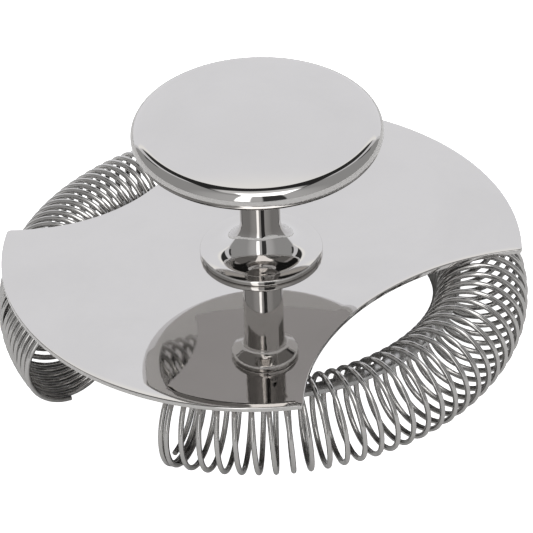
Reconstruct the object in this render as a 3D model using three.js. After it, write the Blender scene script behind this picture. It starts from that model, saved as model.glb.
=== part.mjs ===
// Hawthorne strainer: a two-lobed steel plate with a knob on a turned post, and a wire spring threaded on a
// flat ring below the plate. Millimetres, +Z up; the origin is on the table under the middle of the post.
import * as THREE from 'three';

// ---- driving dimensions ----
const WIRE_R = 0.53; // spring wire, half its diameter
const COIL_R = 9.2; // outside radius of one turn of the spring
const COIL_CENTRE_R = 41.9; // radius of the circle that the turns are strung along
const COIL_TO_PLATE = 0.2; // air between the top of the turns and the plate
const COIL_START = -115.1; // angle of the spring's first turn, degrees about +Z
const TURN_STEPS = 12; // straight steps in one turn
const ARC_TURNS = [9, 23, 27, 32, 8]; // turns in each stretch of spring, from its first end to its last
const ARC_NAMES = ['front_tail', 'front', 'side', 'back', 'back_tail'];
const WIRE_GAP = 0.004; // part of a turn left open between two stretches
// turn number and the degrees that a turn takes there: the wires touch at the front end, then the turns are
// open at the front and closer at the back
const PITCHES = [[0, 2.4], [0.6, 2.4], [0.9, 1.3], [1.7, 1.15], [2, 3.2], [2.4, 3.93], [30, 3.97], [68, 2.69],
  [80, 2.69], [88, 2.35], [97, 2.3], [98, 1.85], [99, 1.85]];
const POST_PITCH = 4.1; // degrees between the two turns that straddle a ring post
const POST_PHASE = -0.1; // part of a turn from the bottom of the wire to the middle of that space

const PLATE_R = 50;
const PLATE_T = 1;
const PLATE_EDGE = 0.25; // softened edge
const PLATE_HOLE_R = 2.1;
const FRONT_BITE = { angle: -42.6, from: 75.2, r: 48.6 }; // round bites out of the plate: direction, distance
const BACK_BITE = { angle: 137.4, from: 62.8, r: 32.3 }; // of the circle's middle, and its radius

const RING_IN_R = 35.4;
const RING_OUT_R = 38.2;
const RING_T = 1;
const RING_DROP = 6.25; // from the plate's top face to the ring's top face

const RING_POST_R = 0.6;
const TENON_R = 0.4;
const RIVET_HEAD_R = 0.85;
const RIVET_HEAD_H = 0.45;
const CLEAR = 0.1; // clearance round a pin or a screw
const REST = 0.02; // air between two faces that rest on each other

const NECK_R = 3.9;
const FOOT_R = 11.8;
const FOOT_H = 1.32; // height of the foot where its flare starts
const FLARE_R = 6.05;
const COLLAR_R = 6.5;
const COLLAR_TOP = 23.88; // above the plate's top face
const POST_TENON_R = 2.4;
const POST_TENON_TOP = 28.2;
const BORE_R = 2.5; // the knob's blind hole for that tenon
const BORE_TOP = 28.5;
const KNOB_R = 24.05;
const KNOB_RIM_R = 2.2;
const KNOB_RIM_Z = 27.58; // middle of the knob's rim above the plate's top face
const KNOB_BELOW = 23.9; // height of the knob's flat underside, and the radius that leads it to the rim
const BELLY_R = 6;
const RIM_START = -54; // degrees above level where the belly meets the rim's round
const RIM_END = 68; // degrees above level where the rim's round meets the shoulder
const SHOULDER_R = 3.2; // radius on which the knob's dome rolls over to its rim
const DOME_END = 86.2; // degrees above level where the shoulder meets the dome
const SCREW_R = 1.75;
const SCREW_TIP = 10; // above the plate's top face
const SCREW_HEAD_R = 3.6;
const SCREW_HEAD_H = 2;
const WASHER_R = 4.6;
const WASHER_T = 0.5;

// ---- heights worked out from them ----
const COIL_Z = COIL_R;
const PLATE_BOTTOM = 2 * COIL_R + COIL_TO_PLATE;
const PLATE_TOP = PLATE_BOTTOM + PLATE_T;
const RING_TOP = PLATE_TOP - RING_DROP;
const RING_MID_R = (RING_IN_R + RING_OUT_R) / 2;

const rad = THREE.MathUtils.degToRad;
const mirrorSteel = new THREE.MeshStandardMaterial({ color: 0xcfcfd1, roughness: 0.06, metalness: 1 });
const satinSteel = new THREE.MeshStandardMaterial({ color: 0xa9a8a6, roughness: 0.28, metalness: 1 });
const object = new THREE.Group();

function add(name, geometry, material) {
  const mesh = new THREE.Mesh(geometry, material.clone());
  mesh.name = name;
  object.add(mesh);
  return mesh;
}

// ---- round pieces: a profile of [radius, height] points turned about +Z ----
function arcPoints(r, z, radius, from, to, steps) {
  const points = [];
  for (let i = 0; i <= steps; i++) {
    const a = rad(from + ((to - from) * i) / steps);
    points.push([r + radius * Math.cos(a), z + radius * Math.sin(a)]);
  }
  return points;
}

function turned(profile, segments, baseZ = 0) {
  const points = profile.map(([r, z]) => new THREE.Vector2(Math.max(r, 0), z + baseZ));
  const geometry = new THREE.LatheGeometry(points, segments);
  geometry.rotateX(Math.PI / 2);
  return geometry;
}

// ---- the wire spring ----
// Angle that one turn takes at turn number n, opened out beside each ring post.
const totalTurns = ARC_TURNS.reduce((sum, turns) => sum + turns, 0);
const arcEnds = ARC_TURNS.map((_, i) => ARC_TURNS.slice(0, i + 1).reduce((sum, turns) => sum + turns, 0));
const postTurns = arcEnds.slice(0, -1).map((n) => n + POST_PHASE);

function pitchAt(n) {
  const next = Math.max(1, PITCHES.findIndex(([turn]) => turn >= n));
  const [n0, p0] = PITCHES[next - 1];
  const [n1, p1] = PITCHES[next];
  const plain = THREE.MathUtils.mapLinear(n, n0, n1, p0, p1);
  const nearest = Math.min(...postTurns.map((post) => Math.abs(n - post)));
  return Math.max(plain, POST_PITCH * Math.exp(-((nearest / 1.1) ** 4)));
}

// Running sum of the pitch, so that angleAt(n) is where turn n lies round the plate.
const SUM_STEPS = 20;
const angles = [COIL_START];
for (let i = 0; i < totalTurns * SUM_STEPS; i++) {
  angles.push(angles[i] + pitchAt((i + 0.5) / SUM_STEPS) / SUM_STEPS);
}

function angleAt(n) {
  const i = Math.min(Math.floor(n * SUM_STEPS), angles.length - 2);
  return THREE.MathUtils.lerp(angles[i], angles[i + 1], n * SUM_STEPS - i);
}

class SpringCurve extends THREE.Curve {
  constructor(from, to) {
    super();
    this.from = from;
    this.to = to;
  }

  getUtoTmapping(u) {
    return u; // the steps are even in angle, so that a corner lies at the bottom of every turn
  }

  getPoint(t, target = new THREE.Vector3()) {
    const n = this.from + (this.to - this.from) * t;
    const around = rad(angleAt(n));
    const roll = -2 * Math.PI * n - Math.PI / 2;
    const r = COIL_CENTRE_R + (COIL_R - WIRE_R) * Math.cos(roll);
    const z = COIL_Z + (COIL_R - WIRE_R) * Math.sin(roll);
    return target.set(r * Math.cos(around), r * Math.sin(around), z);
  }
}

const wireSection = new THREE.Shape([
  new THREE.Vector2(WIRE_R, 0), new THREE.Vector2(0, WIRE_R),
  new THREE.Vector2(-WIRE_R, 0), new THREE.Vector2(0, -WIRE_R)
]);
ARC_TURNS.forEach((turns, i) => {
  const path = new SpringCurve(arcEnds[i] - turns + WIRE_GAP, arcEnds[i] - WIRE_GAP);
  const geometry = new THREE.ExtrudeGeometry(wireSection, {
    extrudePath: path, steps: turns * TURN_STEPS, bevelEnabled: false
  });
  add(`spring_${ARC_NAMES[i]}`, geometry, satinSteel);
});

// ---- the plate: a disc with two round bites ----
// Points along an arc in the plate's plane, without its last one, where the next arc starts.
function arcXY(x, y, r, from, to, steps) {
  const points = [];
  for (let i = 0; i < steps; i++) {
    const a = from + ((to - from) * i) / steps;
    points.push(new THREE.Vector2(x + r * Math.cos(a), y + r * Math.sin(a)));
  }
  return points;
}

// The outline is drawn inside the real edge by PLATE_EDGE, which the softened edge then adds.
const insetR = PLATE_R - PLATE_EDGE;
function biteCut(bite) {
  const r = bite.r + PLATE_EDGE;
  const toCorner = Math.acos((insetR ** 2 + bite.from ** 2 - r ** 2) / (2 * insetR * bite.from));
  const sweep = Math.asin((insetR * Math.sin(toCorner)) / r);
  const direction = rad(bite.angle);
  const [x, y] = [bite.from * Math.cos(direction), bite.from * Math.sin(direction)];
  const inward = direction + Math.PI;
  return { start: direction - toCorner, end: direction + toCorner,
    points: arcXY(x, y, r, inward + sweep, inward - sweep, 22) };
}

const frontCut = biteCut(FRONT_BITE);
const backCut = biteCut(BACK_BITE);
const plateOutline = new THREE.Shape([
  ...arcXY(0, 0, insetR, frontCut.end, backCut.start, 32), ...backCut.points,
  ...arcXY(0, 0, insetR, backCut.end, frontCut.start + 2 * Math.PI, 32), ...frontCut.points
]);
plateOutline.holes.push(new THREE.Path(arcXY(0, 0, PLATE_HOLE_R + PLATE_EDGE, 2 * Math.PI, 0, 16)));
const plateGeometry = new THREE.ExtrudeGeometry(plateOutline, {
  depth: PLATE_T - 2 * PLATE_EDGE, bevelEnabled: true,
  bevelThickness: PLATE_EDGE, bevelSize: PLATE_EDGE, bevelSegments: 1
});
plateGeometry.translate(0, 0, PLATE_BOTTOM + PLATE_EDGE);
add('plate', plateGeometry, mirrorSteel);

// ---- the flat ring that the spring is strung on, and its four riveted posts ----
const postAngles = postTurns.map((n) => rad(angleAt(n)));
const ringOutline = new THREE.Shape(arcXY(0, 0, RING_OUT_R, 0, 2 * Math.PI, 72));
ringOutline.holes.push(new THREE.Path(arcXY(0, 0, RING_IN_R, 2 * Math.PI, 0, 72)));
for (const angle of postAngles) {
  const [x, y] = [RING_MID_R * Math.cos(angle), RING_MID_R * Math.sin(angle)];
  ringOutline.holes.push(new THREE.Path(arcXY(x, y, TENON_R + CLEAR, 2 * Math.PI, 0, 12)));
}
const ringGeometry = new THREE.ExtrudeGeometry(ringOutline, { depth: RING_T, bevelEnabled: false });
ringGeometry.translate(0, 0, RING_TOP - RING_T);
add('spring_ring', ringGeometry, satinSteel);

const ringBottom = RING_TOP - RING_T;
postAngles.forEach((angle, i) => {
  const post = turned([
    [0, ringBottom - REST - RIVET_HEAD_H], [RIVET_HEAD_R - 0.2, ringBottom - REST - RIVET_HEAD_H],
    [RIVET_HEAD_R, ringBottom - REST], [TENON_R, ringBottom - REST], [TENON_R, RING_TOP + REST],
    [RING_POST_R, RING_TOP + REST], [RING_POST_R, PLATE_BOTTOM - REST], [0, PLATE_BOTTOM - REST]
  ], 12);
  post.translate(RING_MID_R * Math.cos(angle), RING_MID_R * Math.sin(angle), 0);
  add(`ring_post_${i + 1}`, post, satinSteel);
});

// ---- the turned post: flared foot, neck and top collar, with a blind hole for the screw ----
add('post', turned([
  [0, SCREW_TIP + 1], [SCREW_R + CLEAR, SCREW_TIP + 1], [SCREW_R + CLEAR, REST],
  [FOOT_R - 0.35, REST], [FOOT_R, 0.37], [FOOT_R, 0.83], [FOOT_R - 0.35, 1.18],
  ...arcPoints(NECK_R + FLARE_R, FOOT_H + FLARE_R, FLARE_R, -90, -180, 8),
  ...arcPoints(NECK_R + 1.6, 20.4, 1.6, 180, 125, 3),
  ...arcPoints(COLLAR_R - 0.75, 23.25, 0.75, -55, 0, 3), [COLLAR_R, COLLAR_TOP - 0.2],
  [COLLAR_R - 0.2, COLLAR_TOP], [POST_TENON_R, COLLAR_TOP], [POST_TENON_R, POST_TENON_TOP],
  [0, POST_TENON_TOP]
], 36, PLATE_TOP), mirrorSteel);

// ---- the knob: a shallow dome with a rounded rim and a flat underside, bored for the post's tenon ----
const rimMid = KNOB_R - KNOB_RIM_R;
const start = rad(RIM_START);
const slant = KNOB_RIM_Z + KNOB_RIM_R * Math.sin(start) - KNOB_BELOW - BELLY_R * (1 + Math.sin(start));
const bellyMid = rimMid + (KNOB_RIM_R - BELLY_R) * Math.cos(start) + slant * Math.tan(start);
const shoulderR = rimMid - (SHOULDER_R - KNOB_RIM_R) * Math.cos(rad(RIM_END));
const shoulderZ = KNOB_RIM_Z - (SHOULDER_R - KNOB_RIM_R) * Math.sin(rad(RIM_END));
const domeR = (shoulderR + SHOULDER_R * Math.cos(rad(DOME_END))) / Math.cos(rad(DOME_END));
const domeMidZ = shoulderZ + (SHOULDER_R - domeR) * Math.sin(rad(DOME_END));
add('knob', turned([
  [0, BORE_TOP], [BORE_R, BORE_TOP], [BORE_R, KNOB_BELOW],
  ...arcPoints(bellyMid, KNOB_BELOW + BELLY_R, BELLY_R, -90, RIM_START, 4),
  ...arcPoints(rimMid, KNOB_RIM_Z, KNOB_RIM_R, RIM_START, RIM_END, 8),
  ...arcPoints(shoulderR, shoulderZ, SHOULDER_R, RIM_END + 6, DOME_END, 3),
  ...arcPoints(0, domeMidZ, domeR, DOME_END + 1, 90, 3)
], 48, PLATE_TOP), mirrorSteel);

// ---- the screw and washer that draw the post down from below ----
const washerBottom = PLATE_BOTTOM - REST - WASHER_T;
add('post_washer', turned([
  [SCREW_R + CLEAR, washerBottom], [WASHER_R, washerBottom], [WASHER_R, PLATE_BOTTOM - REST],
  [SCREW_R + CLEAR, PLATE_BOTTOM - REST], [SCREW_R + CLEAR, washerBottom]
], 24), satinSteel);
const headTop = washerBottom - REST;
add('post_screw', turned([
  [0, headTop - SCREW_HEAD_H], [SCREW_HEAD_R - 1.2, headTop - SCREW_HEAD_H], [SCREW_HEAD_R, headTop - 0.9],
  [SCREW_HEAD_R, headTop], [SCREW_R, headTop], [SCREW_R, PLATE_TOP + SCREW_TIP - 0.8],
  [SCREW_R - 0.8, PLATE_TOP + SCREW_TIP], [0, PLATE_TOP + SCREW_TIP]
], 20), satinSteel);

export default object;
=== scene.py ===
# %% [markdown]
# # A hawthorne strainer, step by step
# A bartender lays this strainer on a shaker tin. A mirror-polished plate covers the mouth, a knob on a turned post is
# the handle, and a wire spring strung round a flat ring below the plate holds back the ice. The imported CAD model
# gives every size and place. This lesson puts fine surfaces around it: thin edges that catch the light, a spring of
# truly round wire, and steel that mirrors a photographer's room.

# %% Load the frame
import math

import bpy
import numpy as np
from mathutils import Matrix, Vector


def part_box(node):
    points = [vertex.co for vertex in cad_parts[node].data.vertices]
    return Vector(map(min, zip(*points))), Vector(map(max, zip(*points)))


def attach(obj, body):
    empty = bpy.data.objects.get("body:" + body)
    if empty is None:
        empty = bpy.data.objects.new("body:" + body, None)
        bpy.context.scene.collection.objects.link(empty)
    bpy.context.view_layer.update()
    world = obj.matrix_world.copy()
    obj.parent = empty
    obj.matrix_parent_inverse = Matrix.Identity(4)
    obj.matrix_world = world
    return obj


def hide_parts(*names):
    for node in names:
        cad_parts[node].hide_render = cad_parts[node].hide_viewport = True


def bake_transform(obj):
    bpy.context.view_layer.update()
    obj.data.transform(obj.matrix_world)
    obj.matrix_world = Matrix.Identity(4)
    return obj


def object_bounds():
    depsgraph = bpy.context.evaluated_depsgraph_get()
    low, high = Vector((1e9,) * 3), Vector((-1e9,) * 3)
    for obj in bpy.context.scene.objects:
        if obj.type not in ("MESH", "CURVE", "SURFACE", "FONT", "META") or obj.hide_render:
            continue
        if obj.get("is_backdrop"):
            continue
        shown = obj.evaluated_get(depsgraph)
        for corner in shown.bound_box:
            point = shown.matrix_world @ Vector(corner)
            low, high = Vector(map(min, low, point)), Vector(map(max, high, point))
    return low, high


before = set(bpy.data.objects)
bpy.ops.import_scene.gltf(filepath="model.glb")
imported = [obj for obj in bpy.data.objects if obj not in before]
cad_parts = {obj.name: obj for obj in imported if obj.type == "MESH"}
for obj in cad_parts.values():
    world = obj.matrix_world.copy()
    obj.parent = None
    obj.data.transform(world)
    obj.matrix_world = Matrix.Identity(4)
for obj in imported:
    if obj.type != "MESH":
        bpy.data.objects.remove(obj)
cad_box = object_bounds()
MM = 0.001
print("CAD box in mm:", [[round(v / MM, 1) for v in corner] for corner in cad_box])

# %% [markdown]
# ## Heights and radii read from the frame
# A maker measures the parts on the bench before dressing them. The boxes of the CAD nodes give the plate's faces, the
# ring's faces and the reach of the spring, so a change in the CAD model carries through to every fine surface.

# %% Read the driving sizes from the CAD nodes
plate_low, plate_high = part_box("plate")
ring_low, ring_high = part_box("spring_ring")
knob_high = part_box("knob")[1]
screw_low, screw_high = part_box("post_screw")
washer_low, washer_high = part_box("post_washer")
coil_low, coil_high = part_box("spring_front")
PLATE_TOP = plate_high.z
PLATE_BOTTOM = plate_low.z
PLATE_R = plate_high.y
KNOB_R = max(knob_high.x, knob_high.y)
COIL_R = (coil_high.z - coil_low.z) / 2
print(f"plate {2 * PLATE_R / MM:.1f} mm across, knob {2 * KNOB_R / MM:.1f} mm, turns {2 * COIL_R / MM:.1f} mm")

# %% [markdown]
# ## The camera
# A product photographer stands well back and uses a long lens, so that the round plate keeps its shape. The camera
# looks down at about 36 degrees and is rolled by two degrees, which tips the whole picture a little.

# %% Set the camera
CAMERA_TILT = math.radians(35.677)
CAMERA_ROLL = math.radians(-2.0925)
CAMERA_DISTANCE = 1.13197
CAMERA_SIDE = 0.000866
CAMERA_LIFT = -0.003012
SENSOR = 36.0
LENS = 398.42

back = Vector((0, -math.cos(CAMERA_TILT), math.sin(CAMERA_TILT)))
up = Vector((0, math.sin(CAMERA_TILT), math.cos(CAMERA_TILT)))
right = Vector((1, 0, 0))
side = right * math.cos(CAMERA_ROLL) + up * math.sin(CAMERA_ROLL)
top = up * math.cos(CAMERA_ROLL) - right * math.sin(CAMERA_ROLL)
aim = Vector((0, 0, PLATE_TOP))

camera_data = bpy.data.cameras.new("camera")
camera_data.lens = LENS
camera_data.sensor_width = SENSOR
camera_data.clip_end = 20
camera = bpy.data.objects.new("camera", camera_data)
bpy.context.scene.collection.objects.link(camera)
rotation = Matrix((side, top, back)).transposed().to_4x4()
place = aim + back * CAMERA_DISTANCE + right * CAMERA_SIDE + up * CAMERA_LIFT
camera.matrix_world = Matrix.Translation(place) @ rotation
bpy.context.scene.camera = camera
bpy.context.scene.view_settings.view_transform = "Standard"
print("camera stands at", [round(v, 3) for v in place], "with a lens of", LENS, "mm")

# %% [markdown]
# ## Node helpers
# Every material below is a small network of nodes. Two helpers keep the cells short: one adds a node and sets its
# plain values, and one starts a new material with a metal Principled BSDF in it.

# %% Helpers for nodes
def add_node(tree, kind, **values):
    """A node of that kind, with inputs set by name and settings set as attributes."""
    node = tree.nodes.new(kind)
    for key, value in values.items():
        if key in node.inputs:
            node.inputs[key].default_value = value
        else:
            setattr(node, key, value)
    return node


def new_metal(name):
    """A material whose Principled BSDF is plain metal, with its tree and its shader."""
    material = bpy.data.materials.new(name)
    material.use_nodes = True
    tree = material.node_tree
    shader = tree.nodes["Principled BSDF"]
    shader.inputs["Metallic"].default_value = 1.0
    return material, tree, shader


def new_group(name, inputs, outputs):
    """An empty shader node group with named float, vector and colour sockets."""
    kinds = {"float": "NodeSocketFloat", "vector": "NodeSocketVector", "color": "NodeSocketColor"}
    group = bpy.data.node_groups.new(name, "ShaderNodeTree")
    for socket_name, kind, value in inputs:
        socket = group.interface.new_socket(socket_name, in_out="INPUT", socket_type=kinds[kind])
        if value is not None:
            socket.default_value = value
    for socket_name, kind in outputs:
        group.interface.new_socket(socket_name, in_out="OUTPUT", socket_type=kinds[kind])
    return group, group.nodes.new("NodeGroupInput"), group.nodes.new("NodeGroupOutput")


def place_group(tree, group, **values):
    """The group as a node in a material, with its inputs set by name."""
    node = tree.nodes.new("ShaderNodeGroup")
    node.node_tree = group
    for key, value in values.items():
        node.inputs[key.replace("_", " ")].default_value = value
    return node


# %% [markdown]
# ## Handling haze
# Polished steel is never evenly clean. Wiping leaves broad cloudy patches where the mirror is a touch duller, and
# small specks sit in them. One group makes this haze from two noises, and each metal mixes in its own amount.

# %% Handling haze, a group used by every metal
haze_group, haze_in, haze_out = new_group(
    "handling haze",
    [("Patch Scale", "float", 60.0), ("Clean Roughness", "float", 0.03), ("Hazy Roughness", "float", 0.08)],
    [("Roughness", "float"), ("Mask", "float")],
)
spot = add_node(haze_group, "ShaderNodeTexCoord")
patches = add_node(haze_group, "ShaderNodeTexNoise", Detail=3.0, Roughness=0.6, Distortion=0.4)
fine = add_node(haze_group, "ShaderNodeTexNoise", Scale=900.0, Detail=2.0)
spread = add_node(haze_group, "ShaderNodeMapRange")
spread.inputs["From Min"].default_value = 0.38
spread.inputs["From Max"].default_value = 0.72
weigh = add_node(haze_group, "ShaderNodeMath", operation="MULTIPLY_ADD")
weigh.inputs[1].default_value = 0.35
mix_rough = add_node(haze_group, "ShaderNodeMix", data_type="FLOAT")
links = haze_group.links
links.new(spot.outputs["Object"], patches.inputs["Vector"])
links.new(spot.outputs["Object"], fine.inputs["Vector"])
links.new(haze_in.outputs["Patch Scale"], patches.inputs["Scale"])
links.new(patches.outputs["Fac"], spread.inputs["Value"])
links.new(fine.outputs["Fac"], weigh.inputs[0])
links.new(spread.outputs["Result"], weigh.inputs[2])
links.new(weigh.outputs["Value"], mix_rough.inputs[0])
links.new(haze_in.outputs["Clean Roughness"], mix_rough.inputs[2])
links.new(haze_in.outputs["Hazy Roughness"], mix_rough.inputs[3])
links.new(mix_rough.outputs[0], haze_out.inputs["Roughness"])
links.new(weigh.outputs["Value"], haze_out.inputs["Mask"])
print("group:", haze_group.name)

# %% [markdown]
# ## Polishing lines
# A buffing wheel leaves hair-fine lines, too shallow to see except where a light glances along them. The group
# stretches a noise in one direction and gives it out as a height, for a Bump node in each material.

# %% Polishing lines, a group used by every metal
lines_group, lines_in, lines_out = new_group(
    "polishing lines",
    [("Across", "float", 2600.0), ("Along", "float", 90.0), ("Waviness", "float", 18.0)],
    [("Height", "float"), ("Wave", "float")],
)
spot = add_node(lines_group, "ShaderNodeTexCoord")
stretch = add_node(lines_group, "ShaderNodeMapping")
sizes = add_node(lines_group, "ShaderNodeCombineXYZ")
hairlines = add_node(lines_group, "ShaderNodeTexNoise", Scale=1.0, Detail=3.0, Roughness=0.7)
waves = add_node(lines_group, "ShaderNodeTexNoise", Detail=1.0)
links = lines_group.links
links.new(lines_in.outputs["Across"], sizes.inputs["X"])
links.new(lines_in.outputs["Along"], sizes.inputs["Y"])
links.new(lines_in.outputs["Across"], sizes.inputs["Z"])
links.new(spot.outputs["Object"], stretch.inputs["Vector"])
links.new(sizes.outputs["Vector"], stretch.inputs["Scale"])
links.new(stretch.outputs["Vector"], hairlines.inputs["Vector"])
links.new(spot.outputs["Object"], waves.inputs["Vector"])
links.new(lines_in.outputs["Waviness"], waves.inputs["Scale"])
links.new(hairlines.outputs["Fac"], lines_out.inputs["Height"])
links.new(waves.outputs["Fac"], lines_out.inputs["Wave"])
print("group:", lines_group.name)

# %% [markdown]
# ## Mirror-polished steel
# The plate, post and knob share one finish. Stainless steel gives back about three fifths of the light, a little
# less in the blue after several bounces, and it is almost a perfect mirror. The haze only just dulls it.

# %% Mirror steel
def make_mirror_steel(name, tint, hairline, wave):
    material, tree, shader = new_metal(name)
    haze = place_group(tree, haze_group, Patch_Scale=45.0, Clean_Roughness=0.008, Hazy_Roughness=0.03)
    lines = place_group(tree, lines_group)
    bright = add_node(tree, "ShaderNodeMix", data_type="RGBA")
    bright.inputs[6].default_value = (*tint, 1)
    bright.inputs[7].default_value = (*[0.96 * value for value in tint], 1)
    hair_bump = add_node(tree, "ShaderNodeBump", Strength=hairline, Distance=0.00002)
    wave_bump = add_node(tree, "ShaderNodeBump", Strength=wave, Distance=0.0002)
    tree.links.new(haze.outputs["Roughness"], shader.inputs["Roughness"])
    tree.links.new(haze.outputs["Mask"], bright.inputs[0])
    tree.links.new(bright.outputs[2], shader.inputs["Base Color"])
    tree.links.new(lines.outputs["Height"], hair_bump.inputs["Height"])
    tree.links.new(lines.outputs["Wave"], wave_bump.inputs["Height"])
    tree.links.new(hair_bump.outputs["Normal"], wave_bump.inputs["Normal"])
    tree.links.new(wave_bump.outputs["Normal"], shader.inputs["Normal"])
    return material


STEEL = (0.63, 0.615, 0.602)
plate_steel = make_mirror_steel("mirror steel, sheet", STEEL, 0.05, 0.1)
turned_steel = make_mirror_steel("mirror steel, turned", STEEL, 0.04, 0.0)
print("materials:", plate_steel.name, "and", turned_steel.name)

# %% [markdown]
# ## Satin steel
# The small pieces below the plate are tumbled in a drum, not polished, so they blur what they mirror. The haze is
# stronger here than on the plate, and the fine lines lie closer together.

# %% Satin steel for the ring, rivets, washer and screw
def make_satin_steel():
    material, tree, shader = new_metal("satin steel")
    haze = place_group(tree, haze_group, Patch_Scale=220.0, Clean_Roughness=0.2, Hazy_Roughness=0.34)
    lines = place_group(tree, lines_group, Across=5200.0, Along=700.0)
    tone = add_node(tree, "ShaderNodeMix", data_type="RGBA")
    tone.inputs[6].default_value = (0.56, 0.555, 0.55, 1)
    tone.inputs[7].default_value = (0.47, 0.465, 0.46, 1)
    bump = add_node(tree, "ShaderNodeBump", Strength=0.25, Distance=0.00003)
    tree.links.new(haze.outputs["Roughness"], shader.inputs["Roughness"])
    tree.links.new(haze.outputs["Mask"], tone.inputs[0])
    tree.links.new(tone.outputs[2], shader.inputs["Base Color"])
    tree.links.new(lines.outputs["Height"], bump.inputs["Height"])
    tree.links.new(bump.outputs["Normal"], shader.inputs["Normal"])
    return material


satin_steel = make_satin_steel()
print("material:", satin_steel.name)

# %% [markdown]
# ## Spring wire
# Spring wire is drawn through a die, which leaves fine streaks along its length. A noise laid out by the wire's own
# "along" and "around" attributes follows every turn, which a noise laid out in space could not do.

# %% Spring wire
def make_spring_wire():
    material, tree, shader = new_metal("drawn spring wire")
    haze = place_group(tree, haze_group, Patch_Scale=180.0, Clean_Roughness=0.07, Hazy_Roughness=0.16)
    along = add_node(tree, "ShaderNodeAttribute", attribute_name="along")
    around = add_node(tree, "ShaderNodeAttribute", attribute_name="around")
    lay = add_node(tree, "ShaderNodeCombineXYZ")
    streaks = add_node(tree, "ShaderNodeTexNoise", Scale=1.0, Detail=3.0, Roughness=0.65)
    tone = add_node(tree, "ShaderNodeMix", data_type="RGBA")
    tone.inputs[6].default_value = (0.46, 0.45, 0.435, 1)
    tone.inputs[7].default_value = (0.60, 0.59, 0.58, 1)
    bump = add_node(tree, "ShaderNodeBump", Strength=0.25, Distance=0.00002)
    tree.links.new(along.outputs["Fac"], lay.inputs["X"])
    tree.links.new(around.outputs["Fac"], lay.inputs["Y"])
    tree.links.new(lay.outputs["Vector"], streaks.inputs["Vector"])
    tree.links.new(streaks.outputs["Fac"], tone.inputs[0])
    tree.links.new(tone.outputs[2], shader.inputs["Base Color"])
    tree.links.new(haze.outputs["Roughness"], shader.inputs["Roughness"])
    tree.links.new(streaks.outputs["Fac"], bump.inputs["Height"])
    tree.links.new(bump.outputs["Normal"], shader.inputs["Normal"])
    return material


spring_wire = make_spring_wire()
print("material:", spring_wire.name)

# %% [markdown]
# ## Mesh helpers
# Two ways of making cover nearly every piece. A lathe turns a profile of [radius, height] points about the post's
# axis. A sweep carries a round section along a line. Both give plain quads that shade smoothly.

# %% Helpers for meshes
def new_piece(name, vertices, faces, material, sharp_angle=40):
    """A mesh object with smooth faces, whose edges past sharp_angle degrees stay crisp."""
    mesh = bpy.data.meshes.new(name)
    mesh.from_pydata([tuple(v) for v in vertices], [], faces)
    mesh.materials.append(material)
    mesh.validate()
    mesh.shade_smooth()
    mesh.set_sharp_from_angle(angle=math.radians(sharp_angle))
    piece = bpy.data.objects.new(name, mesh)
    bpy.context.scene.collection.objects.link(piece)
    return piece


def arc(r, z, radius, start, end, steps):
    """Profile points along an arc about (r, z), angles in degrees from the outward direction."""
    turns = [math.radians(start + (end - start) * i / steps) for i in range(steps + 1)]
    return [(r + radius * math.cos(a), z + radius * math.sin(a)) for a in turns]


def lathe(name, profile, material, segments=128, at=(0, 0), base=0.0, closed=False):
    """Turns a profile given in millimetres about a vertical axis. It starts and ends on the axis or is closed."""
    rings, vertices, faces = [], [], []
    for r, z in profile:
        height = base + z * MM
        if r < 1e-6:
            rings.append([len(vertices)] * segments)
            vertices.append((at[0], at[1], height))
            continue
        rings.append(range(len(vertices), len(vertices) + segments))
        for i in range(segments):
            a = 2 * math.pi * i / segments
            vertices.append((at[0] + r * MM * math.cos(a), at[1] + r * MM * math.sin(a), height))
    pairs = list(zip(rings, rings[1:])) + ([(rings[-1], rings[0])] if closed else [])
    for low, high in pairs:
        for i in range(segments):
            j = (i + 1) % segments
            face = [low[i], low[j], high[j], high[i]]
            faces.append(list(dict.fromkeys(face)))
    return new_piece(name, vertices, faces, material)


# %% [markdown]
# ## The knob
# A shallow dome rolls over its shoulder into a rounded rim, and a small round leads from the rim to the flat
# underside, whose bore takes the post's tenon. The rim's small radius is what squeezes the whole room into a few
# bright and dark lines along its edge.

# %% Turn the knob
knob_r = KNOB_R / MM
RIM_R = 2.2
RIM_Z = 27.58
RIM_END = 68
SHOULDER_R = 3.2
DOME_END = 86.2
rim_mid = knob_r - RIM_R
shoulder_r = rim_mid - (SHOULDER_R - RIM_R) * math.cos(math.radians(RIM_END))
shoulder_z = RIM_Z - (SHOULDER_R - RIM_R) * math.sin(math.radians(RIM_END))
dome_edge = shoulder_r + SHOULDER_R * math.cos(math.radians(DOME_END))
dome_r = dome_edge / math.cos(math.radians(DOME_END))
dome_z = shoulder_z + (SHOULDER_R - dome_r) * math.sin(math.radians(DOME_END))
COLLAR_TOP = 24.33
KNOB_BELOW = 24.35
BELLY_R = 2.5
RIM_START = -54
BORE_R = 2.5
BORE_TOP = 28.5
BORE_BEVEL = 0.1
lean = math.radians(RIM_START)
slant = RIM_Z + RIM_R * math.sin(lean) - KNOB_BELOW - BELLY_R * (1 + math.sin(lean))
belly_mid = rim_mid + (RIM_R - BELLY_R) * math.cos(lean) + slant * math.tan(lean)
knob_profile = [(0, BORE_TOP), (BORE_R, BORE_TOP), (BORE_R, KNOB_BELOW + BORE_BEVEL)]
knob_profile += [(BORE_R + BORE_BEVEL, KNOB_BELOW)]
knob_profile += arc(belly_mid, KNOB_BELOW + BELLY_R, BELLY_R, -90, RIM_START, 16)
knob_profile += arc(rim_mid, RIM_Z, RIM_R, RIM_START, RIM_END, 32)
knob_profile += arc(shoulder_r, shoulder_z, SHOULDER_R, RIM_END + 1, DOME_END, 16)
knob_profile += arc(0, dome_z, dome_r, DOME_END + 0.3, 90, 14)[:-1] + [(0, dome_z + dome_r)]
knob = lathe("knob_body", knob_profile, turned_steel, segments=256, base=PLATE_TOP)
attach(knob, "frame")
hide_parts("knob")
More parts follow.
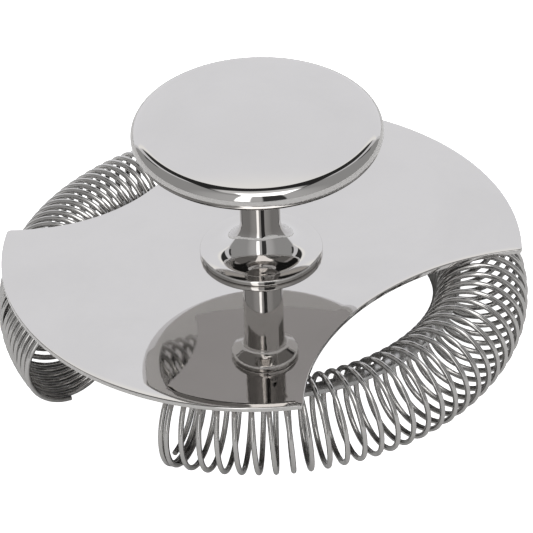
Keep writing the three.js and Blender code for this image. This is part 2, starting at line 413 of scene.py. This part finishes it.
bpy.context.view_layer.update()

# %% [markdown]
# ## The post
# One piece from the lathe: a foot that flares like a trumpet, a straight neck and a small collar under the knob. The
# foot ends in an upright wall with two small rounds, which show as thin lines round the foot.

# %% Turn the post
FOOT_R = 11.8
FOOT_H = 1.32
FLARE_R = 6.05
NECK_R = 3.9
FOOT_ROUND = 0.4
FILLET_R = 1.6
LIP_R = 0.75
COLLAR_R = 6.5
COLLAR_ROUND = 0.2
TENON_R = 2.4
TENON_TOP = 28.2
TAPPED_R = 1.85
TAPPED_TOP = 11
post_profile = [(0, TAPPED_TOP), (TAPPED_R, TAPPED_TOP), (TAPPED_R, 0.02)]
post_profile += arc(FOOT_R - FOOT_ROUND, 0.42, FOOT_ROUND, -90, 0, 12)
post_profile += arc(FOOT_R - FOOT_ROUND, 0.78, FOOT_ROUND, 0, 84, 12)
post_profile += arc(NECK_R + FLARE_R, FOOT_H + FLARE_R, FLARE_R, -90, -180, 48)
post_profile += arc(NECK_R + FILLET_R, 20.85, FILLET_R, 180, 125, 12)
post_profile += arc(COLLAR_R - LIP_R, 23.6, LIP_R, -55, 0, 10)
post_profile += arc(COLLAR_R - COLLAR_ROUND, COLLAR_TOP - COLLAR_ROUND, COLLAR_ROUND, 0, 90, 6)
post_profile += [(TENON_R, COLLAR_TOP), (TENON_R, TENON_TOP), (0, TENON_TOP)]
post = lathe("post_body", post_profile, turned_steel, segments=192, base=PLATE_TOP)
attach(post, "frame")
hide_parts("post")
print("post foot", 2 * FOOT_R, "mm across, neck", 2 * NECK_R, "mm")

# %% [markdown]
# ## The spring's law
# A coiling machine feeds one wire into about a hundred turns and sets the space between them as it goes: close at both
# ends, wide at the front where the drink pours and narrower at the back. Each turn also gives way a little where a
# ring post stands. The same law as in the CAD model says where every turn lies.

# %% Where each turn of the spring lies
WIRE_R = 0.53
TURN_R = COIL_R / MM
CENTRE_R = 41.9
COIL_START = -115.1
ARC_TURNS = [9, 23, 27, 32, 8]
ARC_NAMES = ["front_tail", "front", "side", "back", "back_tail"]
ARC_BODIES = ["front_tail", "front_arc", "side_arc", "back_arc", "back_tail"]
PITCH_TURNS = [0, 0.6, 0.9, 1.7, 2, 2.4, 30, 68, 80, 88, 97, 98, 99]
PITCH_DEGREES = [2.4, 2.4, 1.3, 1.15, 3.2, 3.93, 3.97, 2.69, 2.69, 2.35, 2.3, 1.85, 1.85]
POST_PITCH = 4.1
POST_PHASE = -0.1
POST_SPREAD = 1.1
SUM_STEPS = 20
arc_ends = [int(n) for n in np.cumsum(ARC_TURNS)]
post_turns = np.array(arc_ends[:-1]) + POST_PHASE
middles = (np.arange(arc_ends[-1] * SUM_STEPS) + 0.5) / SUM_STEPS
nearest = np.abs(middles[:, None] - post_turns[None, :]).min(axis=1)
plain = np.interp(middles, PITCH_TURNS, PITCH_DEGREES)
pitches = np.maximum(plain, POST_PITCH * np.exp(-((nearest / POST_SPREAD) ** 4)))
angle_sums = np.concatenate([[COIL_START], COIL_START + np.cumsum(pitches) / SUM_STEPS])


def angle_at(turn):
    return np.radians(np.interp(turn * SUM_STEPS, np.arange(len(angle_sums)), angle_sums))


def spring_point(turn):
    """The middle of the wire at that turn number, in metres, as an array of points."""
    around = angle_at(turn)
    roll = -2 * math.pi * turn - math.pi / 2
    r = CENTRE_R + (TURN_R - WIRE_R) * np.cos(roll)
    z = TURN_R + (TURN_R - WIRE_R) * np.sin(roll)
    return np.stack([r * np.cos(around), r * np.sin(around), z], axis=-1) * MM


print(f"{arc_ends[-1]} turns from {COIL_START} to {angle_sums[-1]:.1f} degrees")

# %% [markdown]
# ## Winding the spring
# The wire is swept as a round section along that law. Each stretch between ring posts is wound as two halves,
# each from one of its posts to its middle, and they meet without a step.

# %% Wind the spring, two halves to each stretch
WIRE_SIDES = 14
STEPS_IN_TURN = 56
NUDGE = 0.002
STREAK_LENGTH = 0.02
STREAK_ROUND = 4.0


def sweep_wire(name, turns):
    """A round wire along the spring's law, with closed ends and attributes for laying out its streaks."""
    points = spring_point(turns)
    ahead = spring_point(turns + NUDGE) - spring_point(turns - NUDGE)
    ahead /= np.linalg.norm(ahead, axis=1)[:, None]
    around = angle_at(turns)
    height = np.full(len(turns), TURN_R)
    hub = np.stack([CENTRE_R * np.cos(around), CENTRE_R * np.sin(around), height], axis=-1) * MM
    outward = points - hub
    outward -= (outward * ahead).sum(1)[:, None] * ahead
    outward /= np.linalg.norm(outward, axis=1)[:, None]
    across = np.cross(ahead, outward)
    rolls = np.arange(WIRE_SIDES) * 2 * math.pi / WIRE_SIDES
    shell = points[:, None, :] + WIRE_R * MM * (
        np.cos(rolls)[None, :, None] * outward[:, None, :] + np.sin(rolls)[None, :, None] * across[:, None, :]
    )
    vertices = list(shell.reshape(-1, 3))
    faces = []
    for i in range(len(turns) - 1):
        near, far = i * WIRE_SIDES, (i + 1) * WIRE_SIDES
        for j in range(WIRE_SIDES):
            k = (j + 1) % WIRE_SIDES
            faces.append([near + j, near + k, far + k, far + j])
    faces.append(list(range(WIRE_SIDES))[::-1])
    faces.append([(len(turns) - 1) * WIRE_SIDES + j for j in range(WIRE_SIDES)])
    piece = new_piece(name, vertices, faces, spring_wire, sharp_angle=60)
    wire_length = np.repeat(turns * 2 * math.pi * (TURN_R - WIRE_R) * STREAK_LENGTH, WIRE_SIDES)
    lay_round = np.tile(STREAK_ROUND + STREAK_ROUND * np.cos(rolls), len(turns))
    for attribute_name, values in (("along", wire_length), ("around", lay_round)):
        attribute = piece.data.attributes.new(attribute_name, "FLOAT", "POINT")
        attribute.data.foreach_set("value", values.astype(np.float32))
    return piece


for name, body, count, end in zip(ARC_NAMES, ARC_BODIES, ARC_TURNS, arc_ends):
    start, middle = end - count, end - count / 2
    for half, first, last in (("a", start, middle), ("b", middle, end)):
        low = first + (NUDGE if first == 0 else 0)
        high = last - (NUDGE if last == arc_ends[-1] else 0)
        turns = np.linspace(low, high, int((last - first) * STEPS_IN_TURN) + 1)
        wire = sweep_wire(f"wire_{name}_{half}", turns)
        fixed = start if half == "a" else end
        ends = [Vector(spring_point(np.array([float(t)]))[0]) for t in (fixed, middle)]
        for point in ends:
            point.z = COIL_R
        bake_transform(wire)
        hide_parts(f"spring_{name}")
print("spring wound as", 2 * len(ARC_NAMES), "halves")

# %% [markdown]
# ## The plate
# A press blanks the plate from sheet and then the edge is polished over, which lets the top face sink a little
# towards the edge and rounds the corners too. The outline is one disc with two bites of unequal size. Its edge is
# built as a stack of outlines, each drawn a little further in or out.

# %% Draw the plate's outline
FRONT_BITE = (-42.6, 75.2, 48.6)
BACK_BITE = (137.4, 62.8, 32.3)
CORNER_R = 1.0
CORNER_STEPS = 10
DISC_STEPS = 150
BITE_STEPS = 110
plate_r = PLATE_R / MM


def corner_arc(bite, sign, inset):
    """Centre of the small arc that rounds one corner between the disc and a bite, and where it touches both."""
    angle, distance, bite_r = math.radians(bite[0]), bite[1], bite[2] + inset
    rounding = max(CORNER_R - inset, 0.0005)
    near, far = plate_r - inset - rounding, bite_r + rounding
    opening = math.acos((near**2 + distance**2 - far**2) / (2 * near * distance))
    heading = angle + sign * opening
    centre = np.array([near * math.cos(heading), near * math.sin(heading)])
    bite_centre = np.array([distance * math.cos(angle), distance * math.sin(angle)])
    to_bite = bite_centre - centre
    return centre, heading, math.atan2(to_bite[1], to_bite[0]), bite_centre, bite_r, rounding


def sweep_angles(start, end, steps):
    return [start + (end - start) * i / steps for i in range(steps)]


def on_circle(centre, radius, angles):
    return [(centre[0] + radius * math.cos(a), centre[1] + radius * math.sin(a)) for a in angles]


def outline_points(inset):
    """Points round the plate's outline drawn in by inset, anticlockwise from the front bite's right corner."""
    found = []
    order = [(FRONT_BITE, 1), (BACK_BITE, -1), (BACK_BITE, 1), (FRONT_BITE, -1)]
    corners = [corner_arc(*item, inset) for item in order]
    for i, (centre, heading, to_bite, bite_centre, bite_r, rounding) in enumerate(corners):
        leaving = i % 2 == 0
        turn = (to_bite - heading + math.pi) % (2 * math.pi) - math.pi
        first, last = (heading + turn, heading) if leaving else (heading, heading + turn)
        found += on_circle(centre, rounding, sweep_angles(first, last, CORNER_STEPS))
        following = corners[(i + 1) % 4]
        if leaving:
            finish = following[1] if following[1] > heading else following[1] + 2 * math.pi
            found += on_circle((0, 0), plate_r - inset, sweep_angles(heading, finish, DISC_STEPS))
        else:
            start, finish = to_bite + math.pi, following[2] + math.pi
            sweep = (finish - start + math.pi) % (2 * math.pi) - math.pi
            found += on_circle(bite_centre, bite_r, sweep_angles(start, start + sweep, BITE_STEPS))
    return found


print(len(outline_points(0)), "points round the outline")

# %% [markdown]
# ## Rolling the plate's edge
# Each entry of the edge profile is a step outward and a height. From the middle of the top face it runs flat, rolls
# gently down over the last three millimetres, turns round the edge and comes back below. The flat faces keep one
# fan of triangles each, so they mirror without a ripple.

# %% Build the plate
EDGE_TOP = 0.15
EDGE_LOW = 0.15
ROLL = 3.0
ROLL_DROP = 0.1
HOLE_R = 2.1
HOLE_STEPS = 48
plate_t = (PLATE_TOP - PLATE_BOTTOM) / MM
edge = [(-ROLL - 0.9 + 0.3 * i, 0.0) for i in range(3)]
edge += [(-ROLL + (ROLL - EDGE_TOP) * i / 12, -ROLL_DROP * (i / 12) ** 2) for i in range(12)]
edge += [
    (-EDGE_TOP + EDGE_TOP * math.sin(a), -ROLL_DROP - EDGE_TOP + EDGE_TOP * math.cos(a))
    for a in np.linspace(0.06, math.pi / 2, 9)
]
edge += [
    (-EDGE_LOW + EDGE_LOW * math.cos(a), -plate_t + EDGE_LOW - EDGE_LOW * math.sin(a))
    for a in np.linspace(0, math.pi / 2, 7)
]
edge += [(-ROLL, -plate_t)]

plate_mesh_points = []
for out, z in edge:
    plate_mesh_points += [(x * MM, y * MM, PLATE_TOP + z * MM) for x, y in outline_points(-out)]
count = len(outline_points(0))
plate_faces = []
for level in range(len(edge) - 1):
    for i in range(count):
        j = (i + 1) % count
        low, high = (level + 1) * count, level * count
        plate_faces.append([low + i, low + j, high + j, high + i])
hole_first = len(plate_mesh_points)
for z in (PLATE_TOP, PLATE_BOTTOM):
    for i in range(HOLE_STEPS):
        a = 2 * math.pi * i / HOLE_STEPS
        plate_mesh_points.append((HOLE_R * MM * math.cos(a), HOLE_R * MM * math.sin(a), z))
for i in range(HOLE_STEPS):
    j = (i + 1) % HOLE_STEPS
    upper, lower = hole_first, hole_first + HOLE_STEPS
    plate_faces.append([upper + i, upper + j, lower + j, lower + i])


def face_between(outer_first, inner_first, upward):
    """Triangles between the outline and the hole, stitched round by angle."""
    outer_angles = np.arctan2(*np.array(plate_mesh_points)[outer_first:outer_first + count, 1::-1].T)
    inner_angles = [2 * math.pi * i / HOLE_STEPS for i in range(HOLE_STEPS)]
    start = int(np.argmin(np.abs(outer_angles)))
    triangles, i, j = [], 0, 0
    while i < count or j < HOLE_STEPS:
        a, b = start + i, start + i + 1
        outer_now, outer_next = outer_first + a % count, outer_first + b % count
        inner_now, inner_next = inner_first + j % HOLE_STEPS, inner_first + (j + 1) % HOLE_STEPS
        angle_next = (outer_angles[b % count]) % (2 * math.pi) if i < count - 1 else 2 * math.pi
        inner_angle_next = inner_angles[j + 1] if j < HOLE_STEPS - 1 else 2 * math.pi
        if j >= HOLE_STEPS or (i < count and angle_next <= inner_angle_next):
            triangle = [outer_now, outer_next, inner_now]
            i += 1
        else:
            triangle = [outer_now, inner_next, inner_now]
            j += 1
        triangles.append(triangle if upward else triangle[::-1])
    return triangles


plate_faces += face_between(0, hole_first, True)
plate_faces += face_between((len(edge) - 1) * count, hole_first + HOLE_STEPS, False)
plate = new_piece("plate_sheet", plate_mesh_points, plate_faces, plate_steel, sharp_angle=50)
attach(plate, "frame")
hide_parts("plate")
print("plate with", len(plate_faces), "faces")

# %% [markdown]
# ## The ring and its posts
# The spring is strung on a flat ring, blanked from sheet like the plate. Four posts with shouldered ends carry it
# below the plate, and their lower ends are hammered over the ring into small domed rivet heads.

# %% Make the ring and the ring posts
ring_profile = [(35.4, 0.1), (35.5, 0), (38.1, 0), (38.2, 0.1), (38.2, 0.88), (38.17, 0.96), (38.1, 1)]
ring_profile += [(35.5, 1), (35.43, 0.96), (35.4, 0.88)]
ring = lathe("ring_flat", ring_profile, satin_steel, segments=256, base=ring_low.z, closed=True)
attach(ring, "frame")
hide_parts("spring_ring")
for number in range(1, 5):
    low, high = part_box(f"ring_post_{number}")
    middle = (low + high) / 2
    shoulder = ring_high.z - low.z
    head = [(0, 0), (0.25, 0.01), (0.5, 0.06), (0.7, 0.16), (0.82, 0.3), (0.85, 0.4), (0.85, 0.43), (0.4, 0.45)]
    shaft = [(0.4, shoulder / MM + 0.02), (0.6, shoulder / MM + 0.02), (0.6, (high.z - low.z) / MM)]
    profile = head + shaft + [(0, (high.z - low.z) / MM)]
    rivet = lathe(f"ring_rivet_{number}", profile, satin_steel, 32, (middle.x, middle.y), low.z)
    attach(rivet, "frame")
    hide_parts(f"ring_post_{number}")
print("ring at", round(ring_low.z / MM, 2), "mm with four rivets")

# %% [markdown]
# ## The screw and its washer
# Below the plate a screw draws the post down. Its head is domed and has a plain round recess, which lies out of
# sight in use but is there to be turned.

# %% Make the screw and washer
head_bottom = screw_low.z
screw_length = (screw_high.z - screw_low.z) / MM
RECESS_R = 0.55
head_profile = [(0, 0.9), (RECESS_R, 0.8), (RECESS_R, 0.0), (1.6, 0.06), (2.6, 0.3), (3.3, 0.75), (3.6, 1.25)]
head_profile += [(3.6, 1.9), (3.5, 2.0), (1.75, 2.0)]
head_profile += [(1.75, screw_length - 0.8), (0.95, screw_length), (0, screw_length)]
screw = lathe("screw_body", head_profile, satin_steel, 64, base=head_bottom)
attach(screw, "frame")
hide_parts("post_screw")
washer_h = (washer_high.z - washer_low.z) / MM
washer_profile = [(1.87, 0.05), (1.93, 0), (4.52, 0), (4.6, 0.08), (4.6, washer_h - 0.08), (4.52, washer_h)]
washer_profile += [(1.93, washer_h), (1.87, washer_h - 0.05)]
washer = lathe("washer_ring", washer_profile, satin_steel, 64, base=washer_low.z, closed=True)
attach(washer, "frame")
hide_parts("post_washer")
print("screw", round(screw_length, 1), "mm long")

# %% [markdown]
# ## Floor
# The strainer stands on a wide white sweep with no visible edge, which glows towards the camera alone. A soft lamp
# overhead lights the open floor and leaves it dim under the plate, as the spring's wires mirror it. The steel itself
# never mirrors the lamp.

# %% Lay the floor
GLOW = 1.2
FLOOR_HALF = 1.5
LAMP_WATTS = 5
LAMP_SIZE = 1.6
LAMP_HEIGHT = 1.6
floor_material = bpy.data.materials.new("white sweep")
floor_material.use_nodes = True
floor_shader = floor_material.node_tree.nodes["Principled BSDF"]
grain = add_node(floor_material.node_tree, "ShaderNodeTexNoise", Scale=30.0, Detail=4.0)
white = add_node(floor_material.node_tree, "ShaderNodeMix", data_type="RGBA")
white.inputs[6].default_value = (0.86, 0.86, 0.86, 1)
white.inputs[7].default_value = (0.88, 0.88, 0.88, 1)
floor_material.node_tree.links.new(grain.outputs["Fac"], white.inputs[0])
floor_material.node_tree.links.new(white.outputs[2], floor_shader.inputs["Base Color"])
floor_shader.inputs["Roughness"].default_value = 0.9
rays = add_node(floor_material.node_tree, "ShaderNodeLightPath")
glow = add_node(floor_material.node_tree, "ShaderNodeMapRange")
glow.inputs["To Min"].default_value = 0.0
glow.inputs["To Max"].default_value = GLOW
floor_shader.inputs["Emission Color"].default_value = (1, 1, 1, 1)
floor_material.node_tree.links.new(rays.outputs["Is Camera Ray"], glow.inputs["Value"])
floor_material.node_tree.links.new(glow.outputs["Result"], floor_shader.inputs["Emission Strength"])
corners = [(a * FLOOR_HALF, b * FLOOR_HALF, 0) for a, b in ((-1, -1), (1, -1), (1, 1), (-1, 1))]
floor = new_piece("floor", corners, [[0, 1, 2, 3]], floor_material)
floor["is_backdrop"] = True
lamp_data = bpy.data.lights.new("cloth overhead", "AREA")
lamp_data.shape = "SQUARE"
lamp_data.size = LAMP_SIZE
lamp_data.energy = LAMP_WATTS
lamp = bpy.data.objects.new("cloth overhead", lamp_data)
lamp.location = (0, 0, LAMP_HEIGHT)
lamp.visible_glossy = False
lamp.visible_camera = False
bpy.context.scene.collection.objects.link(lamp)
print("floor laid under a lamp of", LAMP_WATTS, "W")

# %% [markdown]
# ## The room that the steel mirrors
# A mirror has no look of its own: it shows the room. A photographer builds a tent of white cloth round the piece and
# leaves dark gaps on purpose, which draw crisp dark lines along its edges. The world shader paints that tent by
# direction, panel by panel. One group makes the soft-edged mask that cuts out every panel.

# %% One panel's mask, a group used for every panel of the tent
panel_group, panel_in, panel_out = new_group(
    "between two edges",
    [("Value", "float", 0.0), ("Low", "float", 0.0), ("High", "float", 1.0), ("Soft", "float", 0.02)],
    [("Mask", "float")],
)


def soft_step(tree, value, edge, soft):
    """A mask that rises from 0 to 1 as the value passes the edge."""
    low = add_node(tree, "ShaderNodeMath", operation="SUBTRACT")
    high = add_node(tree, "ShaderNodeMath", operation="ADD")
    step = add_node(tree, "ShaderNodeMapRange", interpolation_type="SMOOTHSTEP")
    for node in (low, high):
        tree.links.new(edge, node.inputs[0])
        tree.links.new(soft, node.inputs[1])
    tree.links.new(value, step.inputs["Value"])
    tree.links.new(low.outputs[0], step.inputs["From Min"])
    tree.links.new(high.outputs[0], step.inputs["From Max"])
    return step.outputs["Result"]


rise = soft_step(panel_group, panel_in.outputs["Value"], panel_in.outputs["Low"], panel_in.outputs["Soft"])
fall = soft_step(panel_group, panel_in.outputs["Value"], panel_in.outputs["High"], panel_in.outputs["Soft"])
between = add_node(panel_group, "ShaderNodeMath", operation="SUBTRACT")
panel_group.links.new(rise, between.inputs[0])
panel_group.links.new(fall, between.inputs[1])
panel_group.links.new(between.outputs[0], panel_out.inputs["Mask"])
print("group:", panel_group.name)

# %% [markdown]
# ## Directions in the room
# A panel on a wall is measured as the eye sees it: how far aside and how far aloft for one step ahead. The ceiling is
# measured for one step up, and cloth that closes the top by its elevation in degrees.

# %% Directions in the room
world = bpy.data.worlds.new("light tent")
bpy.context.scene.world = world
world.use_nodes = True
room = world.node_tree
background = room.nodes["Background"]
direction = add_node(room, "ShaderNodeTexCoord")
parts = add_node(room, "ShaderNodeSeparateXYZ")
room.links.new(direction.outputs["Generated"], parts.inputs["Vector"])


def calculate(operation, first, second=0.0):
    """A Math node in the room's tree, on sockets or numbers."""
    node = add_node(room, "ShaderNodeMath", operation=operation)
    for socket, value in zip(node.inputs, (first, second)):
        if isinstance(value, (int, float)):
            socket.default_value = value
        else:
            room.links.new(value, socket)
    return node.outputs[0]


x, y, z = parts.outputs["X"], parts.outputs["Y"], parts.outputs["Z"]
ahead = calculate("MAXIMUM", calculate("ABSOLUTE", y), 0.02)
aside, aloft = calculate("DIVIDE", x, ahead), calculate("DIVIDE", z, ahead)
overhead = calculate("MAXIMUM", z, 0.02)
ceiling_x, ceiling_y = calculate("DIVIDE", x, overhead), calculate("DIVIDE", y, overhead)
spread_out = calculate("ABSOLUTE", aside)
bowed = calculate("ADD", aloft, calculate("MULTIPLY", calculate("MULTIPLY", aside, aside), 0.35))
elevation = calculate("MULTIPLY", calculate("ARCSINE", z), 180 / math.pi)


def panel(*edges):
    """The mask of one panel, from any number of (value, low, high, soft)."""
    mask = 1.0
    for value, low, high, soft in edges:
        node = place_group(room, panel_group, Low=low, High=high, Soft=soft)
        room.links.new(value, node.inputs["Value"])
        mask = calculate("MULTIPLY", node.outputs["Mask"], mask)
    return mask


print("directions ready")

# %% [markdown]
# ## Hanging the panels
# Later panels cover earlier ones. Behind hangs the bright cloth that fills the plate and the knob's top. Above its
# bowed, cream edge the wall is dark, with a white card on each side and a dark gap past each card. In front the
# photographer's dark shape and a strip light draw the lines on the neck. Overhead hang a dark cloth, a lamp and the
# white cloth that closes the tent.

# %% Hang the panels
FAR = 1000
behind = (y, 0, FAR, 0.001)
in_front = (y, -FAR, 0, 0.001)
panels = [
    ("grey front", (0.56, 0.56, 0.56),
     panel(in_front, (aside, -1.3, 1.3, 0.9), (elevation, -FAR, 60, 4.0))),
    ("side cards", (0.8, 0.8, 0.82),
     panel(behind, (aside, -1.2, 1.2, 0.05), (elevation, -5, 90, 0.1))),
    ("dark wall behind", (0.04, 0.04, 0.04),
     panel(behind, (aside, -0.8, 0.8, 0.03), (elevation, -5, 90, 0.1))),
    ("gaps past the cards", (0.06, 0.06, 0.06),
     panel(behind, (spread_out, 1.2, 1.5, 0.04), (elevation, 28, 44, 1.0))),
    ("dark cloth overhead", (0.03, 0.03, 0.03),
     panel((z, 0.05, FAR, 0.01), (ceiling_x, -0.38, 0.38, 0.02), (ceiling_y, -0.1, FAR, 0.02))),
    ("photographer", (0.05, 0.05, 0.05),
     panel(in_front, (aside, 0.05, 0.42, 0.02), (elevation, 3, 60, 2.0))),
    ("strip light", (2.4, 2.4, 2.4),
     panel(in_front, (aside, -0.38, -0.14, 0.02), (elevation, 4, 55, 2.0))),
    ("bright cloth behind", (1.0, 1.01, 1.05),
     panel(behind, (aside, -1.08, 1.08, 0.03), (bowed, -FAR, 1.02, 0.015))),
    ("cream edge of the cloth", (1.17, 1.16, 1.13),
     panel(behind, (aside, -1.08, 1.08, 0.03), (bowed, 0.9, 1.02, 0.06))),
    ("white cloth at the top", (0.8, 0.8, 0.8),
     panel((elevation, 72, FAR, 3.0))),
    ("lamp overhead", (3.0, 3.0, 3.0),
     panel((z, 0, FAR, 0.001), (ceiling_y, -0.7, -0.1, 0.06), (ceiling_x, -0.2, 0.36, 0.02))),
]
WALLS = 0.38
tint = None
for what, color, mask in panels:
    lay = add_node(room, "ShaderNodeMix", data_type="RGBA", label=what)
    lay.inputs[6].default_value = (WALLS, WALLS, WALLS, 1)
    lay.inputs[7].default_value = (*color, 1)
    room.links.new(mask, lay.inputs[0])
    if tint is not None:
        room.links.new(tint, lay.inputs[6])
    tint = lay.outputs[2]
rays = add_node(room, "ShaderNodeLightPath")
seen = add_node(room, "ShaderNodeMix", data_type="RGBA")
seen.inputs[7].default_value = (GLOW, GLOW, GLOW, 1)
room.links.new(rays.outputs["Is Camera Ray"], seen.inputs[0])
room.links.new(tint, seen.inputs[6])
room.links.new(seen.outputs[2], background.inputs["Color"])
background.inputs["Strength"].default_value = 1.0
print(len(panels), "panels hung:", ", ".join(what for what, _, _ in panels))

# %% [markdown]
# ## Gather the sizes and finish
# The box of the CAD model and the box of the dressed model are put side by side, and the dressed box is printed.

# %% Sizes and finish
fine_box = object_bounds()
sizes = {"cad": [list(corner) for corner in cad_box], "visual": [list(corner) for corner in fine_box]}
print("visual box in mm:", [[round(v / MM, 1) for v in corner] for corner in fine_box])
